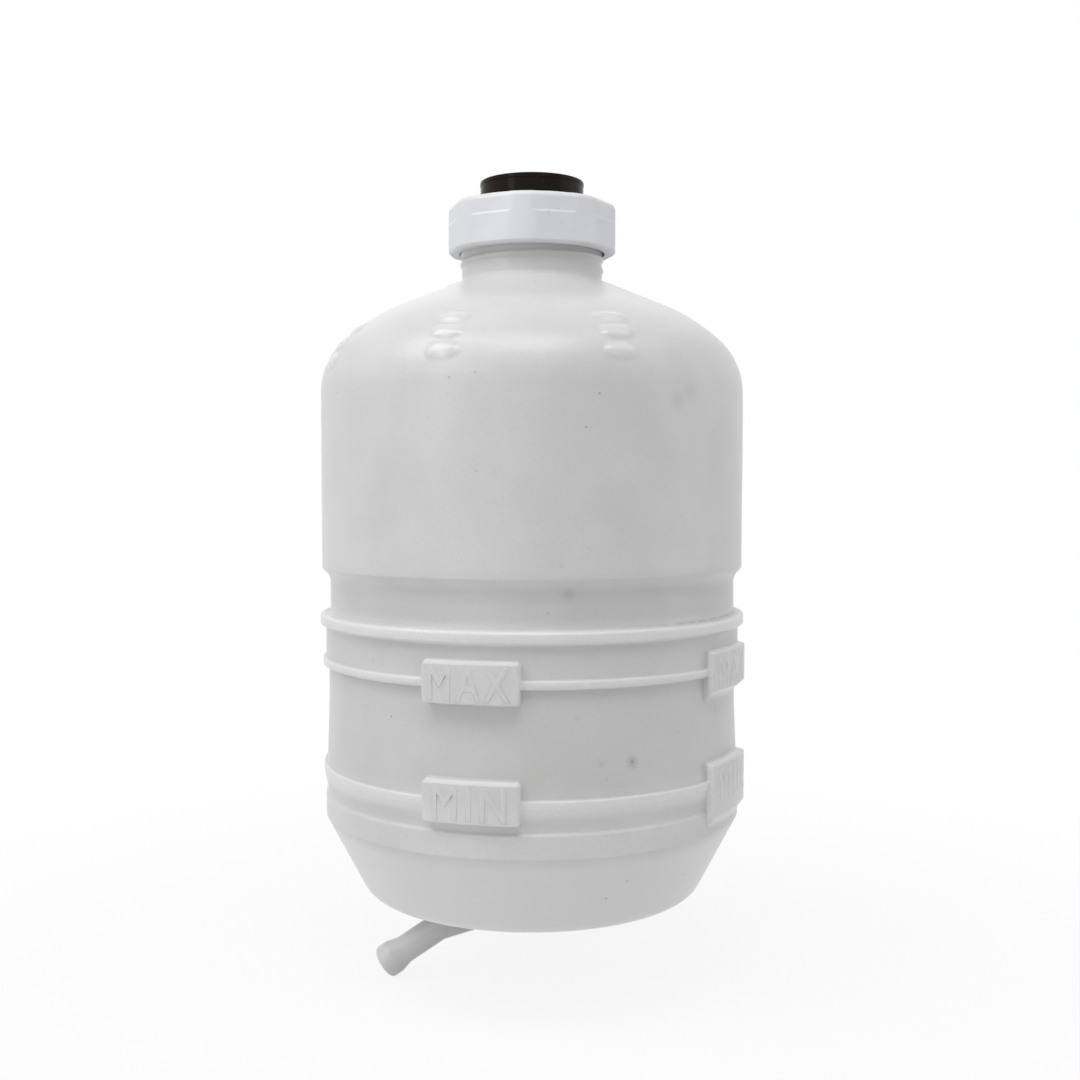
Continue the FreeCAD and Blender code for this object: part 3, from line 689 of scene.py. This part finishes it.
def tankColumns(p, b, g):
    # azimuths: an even spread, with more at the edges of the pads, across the bumps and at the seam
    halfAngle = p["halfWidth"] / p["faceRadius"]
    padMiddles = [radians(a) for a in p["azimuths"]]
    padEdges = [middle + side * halfAngle for middle in padMiddles for side in (-1, 1)]
    dense = [edge + np.linspace(-g["padSpread"], g["padSpread"], g["padColumns"]) for edge in padEdges]
    bumpSpread = np.linspace(-g["bumpSpread"], g["bumpSpread"], g["bumpColumns"])
    dense += [radians(a) + bumpSpread for a in b["azimuths"]]
    seamSpread = np.linspace(-g["seamSpread"], g["seamSpread"], g["seamColumns"])
    dense += [side * pi / 2 + seamSpread for side in (-1, 1)]
    every = np.concatenate([evenTurn(g["columns"])] + dense)
    return thinned(np.mod(every, 2 * pi), g["columnGap"])


def awayFrom(azimuth, degrees):
    # signed angle from a given azimuth, within half a turn
    return np.mod(azimuth - radians(degrees) + pi, 2 * pi) - pi


def tankSkin(t, p, b, g):
    # turned profile with pads pulled out to their face radius, blunt bumps, a mould seam, a thread
    # and faint waves
    profile = tankProfile(t)
    run = alongProfile(profile)
    rows = tankRows(run, profile, t, p, g)
    radius, height = profileAt(rows, run, profile)
    turning = int(np.argmax(profile[:, 1]))
    outer = (rows < run[turning] - g["rimMargin"])[:, None]
    azimuth = tankColumns(p, b, g)[None]
    # a slow wave round the tank that comes and goes with height, and a share of a shorter one
    broad = np.sin(t["broadTurns"] * azimuth + height / t["broadClimb"]) * np.sin(height / t["broadFade"] + 1)
    wave = broad + t["shortShare"] * np.sin(t["shortTurns"] * azimuth - height / t["shortClimb"])
    # the waves and the seam die out on the face of the round rib, which is the widest part
    flush = smoothStep((t["ribRadius"] - radius) / t["flushDepth"]) * outer
    calm = smoothStep(height / t["calmRun"]) * smoothStep((t["calmTop"] - height) / t["calmRun"]) * flush
    skin = radius + t["waviness"] * wave * calm
    for plateAzimuth, line, drop, taper in plateList:
        around = awayFrom(azimuth, plateAzimuth) * p["faceRadius"]
        mask = plateMask(around, height - t["lineHeights"][line], p, drop, taper)
        skin = np.where(outer, skin + mask * np.maximum(p["faceRadius"] - skin, 0), skin)
    seamAway = np.minimum(np.abs(awayFrom(azimuth, 90)), np.abs(awayFrom(azimuth, -90))) * radius
    seamLow = smoothStep((height - t["seamStart"]) / t["seamFade"])
    seamHigh = smoothStep((t["neckRoot"] - height) / t["seamFade"])
    skin = skin + t["seamRise"] * (seamLow * seamHigh * flush) * smoothStep(1 - seamAway / t["seamHalf"])
    # bumps stand at distances along the profile, above the start of the shoulder's lower arc
    startRun = np.interp(shoulderCorners(t)[0], profile[:turning, 1], run[:turning])
    swell = 0 * skin
    for bumpAzimuth in b["azimuths"]:
        around = awayFrom(azimuth, bumpAzimuth) * radius
        for index in range(b["count"]):
            along = rows[:, None] - startRun - b["first"] - index * b["step"]
            oval = np.abs(around / b["halfLength"]) ** b["bluntness"] + (along / b["halfHeight"]) ** 2
            swell = np.maximum(swell, b["rise"] * np.clip(1 - oval, 0, 1) ** b["fullness"])
    # the bumps rise along the wall's own normal, whose slant comes from the profile's direction
    slant = np.clip(-np.gradient(radius[:, 0], rows), 0, 1)[:, None]
    swell = swell * outer
    skin = skin + swell * np.sqrt(1 - slant ** 2)
    skin = skin + np.where(outer, threadRise(neckThread, height, azimuth), 0)
    lifted = height + swell * slant
    return onAxis(skin * mm, (lifted + baseHeight) * mm, azimuth), swell / b["rise"]


tankPoints, bumpShare = tankSkin(tank, plates, bumps, tankGrid)
tankMesh = closedTurning("tankShell", tankPoints)
shareLayer = tankMesh.attributes.new("bumpShare", "FLOAT", "POINT")
shareLayer.data.foreach_set("value", np.concatenate([[0], bumpShare[1:-1].ravel(), [0]]).astype(np.float32))
addPiece(tankMesh, tankFinish, "tank", "tank_plastic", "tank_body")
print("tank shell:", len(tankMesh.polygons), "faces")


# Level words: raised block letters on the pads

levelWords = {  # mm; each word with its width
    "words": (("MIN", 24.5), ("MAX", 27.5)), "height": 11.3, "spacing": 1.25,
    "rise": 0.13, "sink": 0.6, "bevel": 0.30, "bevelSteps": 2,
}


def wrapWord(name, word, width, azimuth, line, w):
    # flat letters scaled to size and bent round the axis: across becomes azimuth, up height, depth radius
    curve = bpy.data.curves.new(name + "Flat", "FONT")
    curve.body = word
    curve.size = w["height"]
    curve.space_character = w["spacing"]
    curve.extrude = (w["rise"] + w["sink"]) / 2 - w["bevel"]
    curve.bevel_depth = w["bevel"]
    curve.bevel_resolution = w["bevelSteps"]
    flat = bpy.data.objects.new(name + "Flat", curve)
    mesh = bpy.data.meshes.new_from_object(flat)
    bpy.data.objects.remove(flat)
    mesh.name = name
    co = meshPoints(mesh)
    low, high = co.min(axis=0), co.max(axis=0)
    co = (co - (low + high) / 2) * [width / (high[0] - low[0]), w["height"] / (high[1] - low[1]), 1]
    turn = radians(azimuth) + co[:, 0] / plates["faceRadius"]
    out = plates["faceRadius"] + (w["rise"] - w["sink"]) / 2 + co[:, 2]
    bent = onAxis(out * mm, (co[:, 1] + line + baseHeight) * mm, turn)
    mesh.vertices.foreach_set("co", np.ascontiguousarray(bent, np.float32).ravel())
    mesh.update()
    return mesh


for sideName, azimuth in zip(("Front", "Side"), plates["azimuths"]):
    for (word, width), line in zip(levelWords["words"], tank["lineHeights"]):
        wordMesh = wrapWord("word" + word.title() + sideName, word, width, azimuth, line, levelWords)
        addPiece(wordMesh, tankFinish, "tank", "tank_plastic")
print("level words set")


# Cap: faceted screw ring, dark insert and lid

# arcs in radians, rows in mm
turned = {"arcStep": 0.12, "rowStep": 1.0, "ringGap": 0.12, "solidGap": 0.08, "columns": 200}


def closedProfile(corners):
    # closed outline that starts halfway along its last run, so that every corner can be rounded
    middle = tuple(np.mean([corners[0][:2], corners[-1][:2]], axis=0)) + (0,)
    return roundedProfile([middle] + corners + [middle], turned["arcStep"])[:-1]


def spreadRows(profile, step):
    # the outline's own points and an even spread of others, as (radius, height) columns
    closed = np.concatenate([profile, profile[:1]])
    run = alongProfile(closed)
    rows = thinned(np.concatenate([run[:-1], np.arange(0, run[-1] - step / 2, step)]), turned["ringGap"])
    return profileAt(rows, run, closed)


ring = {  # mm; heights from the ring's own top
    "outer": 30.15, "bore": 26.6, "hole": 19.2, "height": 19.8, "lip": 3.5, "innerLip": 0.5,
    "edgeDrop": 2.6, "holeDrop": 1.2, "edgeRounding": 2.0, "edgeBevel": 0.8,
    "flats": 8, "flatHalfAngle": 13.0, "firstFlat": 15.5, "flatDrop": 9.3, "ledge": 0.38, "ledgeStep": 0.3,
    "trimInset": 0.8, "trimFull": 2.2, "edgeSoftness": 0.05,
    "threadRise": 0.8, "threadShift": 0.5, "threadInset": 0.6, "boreTouch": 0.05,
    "columns": 400, "rowStep": 0.3,
}
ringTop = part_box("lock_ring")[1][2] / mm


def ringSkin(r):
    # turned outline, trimmed to the nearest of eight planes that step in above a ledge,
    # with a thread in the bore half a pitch off the neck's
    low = -r["height"]
    profile = closedProfile([
        (r["bore"] - r["innerLip"], low, 0.3), (r["outer"] - r["edgeBevel"], low, 0.5),
        (r["outer"], low + r["edgeBevel"], 0.6), (r["outer"], -r["edgeDrop"], r["edgeRounding"]),
        (r["hole"], -r["holeDrop"], 0.5), (r["hole"], -r["lip"], 0.4), (r["bore"], -r["lip"], 0.4),
        (r["bore"], low + 3 * r["innerLip"], 0.3),
    ])
    radius, height = spreadRows(profile, r["rowStep"])
    azimuth = evenTurn(r["columns"])[None]
    step = 2 * pi / r["flats"]
    offset = np.mod(azimuth - radians(r["firstFlat"]) + step / 2, step) - step / 2
    plane = r["outer"] * math.cos(radians(r["flatHalfAngle"])) / np.cos(offset)
    cut = r["outer"] - plane + r["ledge"] * smoothStep((height + r["flatDrop"]) / r["ledgeStep"])
    # a short soft minimum rounds the flat's edges; the cut carries the rounded edges with it
    trimRun = r["outer"] - r["bore"] - r["trimFull"]
    share = np.clip((radius - r["bore"] - r["trimInset"]) / trimRun, 0, 1)
    trimmed = radius - share * 0.5 * (cut + np.sqrt(cut ** 2 + r["edgeSoftness"] ** 2))
    skin = np.where(radius > r["bore"] + r["trimInset"], trimmed, radius)
    thread = dict(neckThread, rise=r["threadRise"])
    above = height + ringTop - baseHeight
    inBore = np.abs(radius - r["bore"]) < r["boreTouch"]
    inBore = inBore & (height < -r["lip"] - r["threadInset"]) & (height > low + r["threadInset"])
    skin = skin - np.where(inBore, threadRise(thread, above, azimuth, r["threadShift"]), 0)
    return onAxis(skin * mm, (height + ringTop) * mm, azimuth)


ringMesh = ringTurning("screwRing", ringSkin(ring))
addPiece(ringMesh, ringFinish, "screw_ring", "ring_plastic", "lock_ring")


def turnedRing(name, corners, columns):
    # closed outline of (radius, height, rounding) in mm carried round the axis
    radius, height = spreadRows(closedProfile(corners), turned["rowStep"])
    return ringTurning(name, onAxis(radius * mm, height * mm, evenTurn(columns)[None]))


def turnedSolid(name, corners, columns):
    # open outline from axis to axis carried round it, with a pole at each end
    profile = roundedProfile(corners, turned["arcStep"])
    run = alongProfile(profile)
    rows = thinned(np.concatenate([run, np.arange(0, run[-1], turned["rowStep"])]), turned["solidGap"])
    radius, height = profileAt(rows, run, profile)
    return closedTurning(name, onAxis(radius * mm, height * mm, evenTurn(columns)[None]))


cap = {  # mm; heights in the frame follow the CAD boxes
    "radius": 18.6, "wall": 2.7, "flange": 25.0, "flangeThickness": 2.5, "skirtDrop": 8.0,
    "rim": 17.3, "rimHeight": 4.6, "skirtGap": 0.35, "skirtRoom": 0.4,
    "lipRadius": 18.75, "lipThickness": 1.6, "dish": 0.5, "dishRadius": 15.0, "dishBevel": 0.6,
    "plugWall": 3.2, "plugDepth": 3.5, "slip": 0.15,
}
housingLow, housingHigh = [corner[2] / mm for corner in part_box("valve_housing")]
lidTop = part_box("valve_cover")[1][2] / mm
plug = cap["radius"]
bore = plug - cap["wall"]
flangeLow = housingLow + cap["skirtDrop"]
flangeHigh = flangeLow + cap["flangeThickness"]
rimStep = housingHigh - cap["rimHeight"]
housingMesh = turnedRing("capInsert", [
    (bore, housingLow, 0.4), (plug, housingLow, 0.4), (plug, flangeLow, 0.4),
    (cap["flange"], flangeLow, 0.4), (cap["flange"], flangeHigh, 0.4),
    (plug, flangeHigh, 0.3), (plug, rimStep, 0.25),
    (cap["rim"], rimStep, 0.1), (cap["rim"], housingHigh, 0.2), (bore, housingHigh, 0.3),
], turned["columns"])
addPiece(housingMesh, darkFinish, "cap_insert", "dark_plastic", "valve_housing")
lidRadius = bore - cap["slip"]
lidInside = lidRadius - cap["plugWall"]
plugLow = housingHigh - cap["plugDepth"]
skirtLow = rimStep + cap["skirtRoom"]
skirtInside = cap["rim"] + cap["skirtGap"]
lipLow = lidTop - cap["lipThickness"]
dishLow = lidTop - cap["dish"]
lidMesh = turnedSolid("capLid", [
    (0, housingHigh, 0), (lidInside, housingHigh, 0.4), (lidInside, plugLow, 0.4),
    (lidRadius, plugLow, 0.4), (lidRadius, housingHigh, 0.2),
    (skirtInside, housingHigh, 0.1), (skirtInside, skirtLow, 0.15), (plug, skirtLow, 0.15),
    (plug, lipLow, 0.15), (cap["lipRadius"], lipLow, 0.2), (cap["lipRadius"], lidTop, 0.45),
    (cap["dishRadius"], lidTop, 0.8), (cap["dishRadius"] - cap["dishBevel"], dishLow, 0.8),
    (0, dishLow, 0),
], turned["columns"])
addPiece(lidMesh, darkFinish, "cap_insert", "dark_plastic", "valve_cover")
print("cap made")


# Springs: round wire on a helix

springs = {  # wire in mm, turns, body, joint, which end stays put, travel in mm
    "pressure_spring": (0.9, 4.5, "cap_insert", "pressure_lift", 1, 3.0),
    "vacuum_spring": (0.35, 5.0, "pressure_valve", "vacuum_drop", 0, 1.5),
}
coilGrid = {"perTurn": 48, "sides": 12}
for node, (wire, turns, body, joint, fixedEnd, travel) in springs.items():
    ends = [corner[2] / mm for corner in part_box(node)]
    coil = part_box(node)[1][0] / mm - wire
    place = np.linspace(0, 1, int(turns * coilGrid["perTurn"]))
    angle = place * turns * 2 * pi
    climb = ends[0] + wire + place * (ends[1] - ends[0] - 2 * wire)
    path = onAxis(coil, climb, angle) * mm
    mesh = sweptTube(node.split("_")[0] + "Coil", path, wire * mm, coilGrid["sides"])
    piece = addPiece(mesh, steelFinish, body, "spring_steel", node)
    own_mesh(piece)
print("springs wound")

# Hidden valve pieces keep their solids and get their finishes
valveFinishes = {
    "neck_gasket": rubberFinish, "pressure_seal": rubberFinish, "vacuum_seal": rubberFinish,
    "valve_cage": darkFinish, "pressure_plate": brassFinish, "spring_cup": brassFinish,
    "vacuum_poppet": brassFinish, "vacuum_retainer": steelFinish,
}
for node, finish in valveFinishes.items():
    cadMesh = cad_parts[node].data
    cadMesh.materials.clear()
    cadMesh.materials.append(finish)


# Hose spigot: a boss under the base and a sloping tube, melted together

spigot = {  # mm, from the middle of the boss on the base
    "x": -16.0, "slope": 34.0, "bend": 4.3, "reach": 46.1, "tube": 5.05, "tubeStart": 0.5,
    "bore": 3.3, "boreStart": 4.0,
    "bead": 6.2, "beadLength": 4.0, "beadTaper": 4.0, "beadBevel": 0.9,
    "boss": 8.5, "bossDrop": 15.5, "bossBevel": 2.0, "sink": 1.2,
    "knee": 4.5, "kneeDrop": 11.6, "kneeSlope": 17.2, "kneeLength": 23.0,
    "columns": 48, "bossColumns": 64, "voxel": 0.42, "smoothing": 14, "smoothShare": 0.5,
}


def sloped(degrees):
    # turns +Z to point towards -X and down by the given slope
    slope = radians(degrees)
    along = np.array([-math.cos(slope), 0, -math.sin(slope)])
    across = np.array([-math.sin(slope), 0, math.cos(slope)])
    return np.stack([across, np.cross(along, across), along])


def spigotMesh(s):
    # a turned tube laid along its slope, a boss and a knee below their meeting,
    # remeshed as one skin and smoothed
    beadStart = s["reach"] - s["beadLength"]
    end = s["reach"] + s["beadBevel"]
    tube = turnedRing("spigotTube", [
        (s["bore"], s["boreStart"], 0), (s["tube"], s["tubeStart"], 0),
        (s["tube"], beadStart - s["beadTaper"], 2.0), (s["bead"], beadStart, 1.5),
        (s["bead"], s["reach"], 0.8), (s["bead"] - s["beadBevel"], end, 0.5), (s["bore"], end, 0.4),
    ], s["columns"])
    low = -s["bossDrop"]
    boss = turnedSolid("spigotBoss", [
        (0, low, 0), (s["boss"] - s["bossBevel"], low, 1.5), (s["boss"], low + s["bossBevel"], 1.5),
        (s["boss"], s["sink"], 0.3), (0, s["sink"], 0),
    ], s["bossColumns"])
    knee = turnedSolid("spigotKnee", [
        (0, 0, 0), (s["knee"], 0, 1.0), (s["knee"], s["kneeLength"], 1.0), (0, s["kneeLength"], 0),
    ], s["columns"])
    root = np.array([s["x"], 0, baseHeight]) * mm
    laid = [
        (tube, sloped(s["slope"]), root - [0, 0, s["bend"] * mm]), (boss, np.eye(3), root),
        (knee, sloped(s["kneeSlope"]), root - [0, 0, s["kneeDrop"] * mm]),
    ]
    points = []
    faces = []
    count = 0
    for mesh, turn, shift in laid:
        points.append(meshPoints(mesh) @ turn + shift)
        mesh.calc_loop_triangles()
        tri = np.empty(len(mesh.loop_triangles) * 3, np.int32)
        mesh.loop_triangles.foreach_get("vertices", tri)
        faces.append(tri.reshape(-1, 3) + count)
        count += len(mesh.vertices)
    joined = fillMesh("spigotJoined", np.concatenate(points), np.zeros((0, 4), int), np.concatenate(faces))
    rough = newObject("spigotRough", joined)
    remesh = rough.modifiers.new("melt", "REMESH")
    remesh.mode = "VOXEL"
    remesh.voxel_size = s["voxel"] * mm
    relax = rough.modifiers.new("relax", "SMOOTH")
    relax.factor = s["smoothShare"]
    relax.iterations = s["smoothing"]
    whole = bpy.data.meshes.new_from_object(rough.evaluated_get(bpy.context.evaluated_depsgraph_get()))
    bpy.data.objects.remove(rough)
    whole.name = "hoseSpigot"
    whole.polygons.foreach_set("use_smooth", np.ones(len(whole.polygons), bool))
    return whole


spigotPiece = spigotMesh(spigot)
spigotPiece.materials.clear()
addPiece(spigotPiece, spigotFinish, "tank", "spigot_plastic", "outlet_spigot")
print("spigot:", len(spigotPiece.polygons), "faces")


# Studio

studio = {
    "floorHalf": 3.0, "floorDrop": 0.3 * mm, "floorColour": grey(0.86), "floorRoughness": 0.9,
    "nearGlow": 0.87, "glowEnds": (0.10, 0.42), "ambient": 0.33,
    "lamps": {  # place, aim, size in metres, power in watts
        "topLamp": ((0.0, -0.53, 0.90), (0, 0, 0.05), (0.6, 0.4), 3.3),
        "keyLamp": ((-0.65, -0.25, 0.85), (0, 0, 0.02), (0.6, 0.6), 3.7),
        "stripLamp": ((-0.80, -0.75, 0.37), (0, 0, 0.08), (0.2, 0.6), 1.2),
        "leftLamp": ((-1.0, -0.15, 0.15), (0, 0, 0.0), (0.7, 0.9), 0.4),
        "fillLamp": ((0.65, -0.20, 0.85), (0, 0, 0.02), (0.6, 0.6), 1.1),
        "rightLamp": ((1.0, -0.05, 0.10), (0, 0, 0.0), (0.7, 0.9), 1.3),
        "frontLamp": ((-0.1, -1.1, 0.10), (0, 0, 0.0), (0.9, 0.9), 0.22),
        "backLeftLamp": ((-0.28, 0.88, 0.52), (0, 0, 0.06), (0.35, 0.35), 0.10),
        "backRightLamp": ((0.26, 0.80, 0.72), (0, 0, 0.06), (0.35, 0.35), 0.09),
    },
}
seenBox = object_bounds()
floorHeight = seenBox[0][2] - studio["floorDrop"]
half = studio["floorHalf"]
floorMesh = bpy.data.meshes.new("studioFloor")
corners = [(x, y, floorHeight) for x, y in ((-half, -half), (half, -half), (half, half), (-half, half))]
floorMesh.from_pydata(corners, [], [(0, 1, 2, 3)])
floor = newObject("studioFloor", floorMesh)
floor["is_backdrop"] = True


def seenDirectly(wire):
    # 1 for rays that come from the camera, a reflection or through glass, 0 for light that bounces
    kinds = ("Is Camera Ray", "Is Glossy Ray", "Is Transmission Ray")
    straight, mirrored, through = [wire.make("ShaderNodeLightPath", {}, {}, kind) for kind in kinds]
    return straight.most(mirrored).most(through)


def aimed(place, aim):
    # rotation of a lamp or camera at place that looks at aim
    return (Vector(aim) - Vector(place)).to_track_quat("-Z", "Y").to_euler()


floorFinish, ground = newMaterial("studioFloor")
floorShader = ground.tree.nodes["Principled BSDF"]
floorLooks = {
    "Base Color": studio["floorColour"], "Roughness": studio["floorRoughness"], "Specular IOR Level": 0.0,
}
feed(floorShader, floorLooks, {})
glow = ground.make("ShaderNodeEmission", {}, {"Color": grey(1.0), "Strength": 1.0})
lit = Wire(ground.tree, floorShader.outputs[0])
# the floor's own white takes over away from the object, so only the shadow near it shows
far = ground.vector("LENGTH", (0, 0, 0), "Value")
rest = 1 - studio["nearGlow"]
share = seenDirectly(ground) * (studio["nearGlow"] + rest * far.span(*studio["glowEnds"]))
mixed = ground.make("ShaderNodeMixShader", {}, {0: share, 1: lit, 2: glow})
ground.tree.links.new(mixed.socket, ground.tree.nodes["Material Output"].inputs["Surface"])
floorMesh.materials.append(floorFinish)

world = bpy.data.worlds.new("studioWorld")
bpy.context.scene.world = world
world.use_nodes = True
sky = world.node_tree.nodes["Background"]
start = Wire(world.node_tree, sky.outputs[0])
level = studio["ambient"] + seenDirectly(start) * (1 - studio["ambient"])
sky.inputs["Color"].default_value = grey(1.0)
world.node_tree.links.new(level.socket, sky.inputs["Strength"])

for name, (place, aim, size, power) in studio["lamps"].items():
    lampData = bpy.data.lights.new(name, "AREA")
    lampData.shape = "RECTANGLE"
    lampData.size, lampData.size_y = size
    lampData.energy = power
    lamp = newObject(name, lampData)
    lamp.location = place
    lamp.rotation_euler = aimed(place, aim)
    lamp.visible_camera = False

shot = {  # metres, with lens and sensor in mm
    "place": (0.0, -0.490, 0.038), "aim": (0.0029, 0.0, 0.0164), "lens": 44.67, "sensor": 36.0, "near": 0.01,
}
cameraData = bpy.data.cameras.new("photoCamera")
cameraData.lens = shot["lens"]
cameraData.sensor_width = shot["sensor"]
cameraData.clip_start = shot["near"]
camera = newObject("photoCamera", cameraData)
camera.location = shot["place"]
camera.rotation_euler = aimed(shot["place"], shot["aim"])
bpy.context.scene.camera = camera
bpy.context.scene.view_settings.view_transform = "Standard"
print("studio set, floor at", round(floorHeight, 4))

seenBox = [[float(v) for v in corner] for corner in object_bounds()]
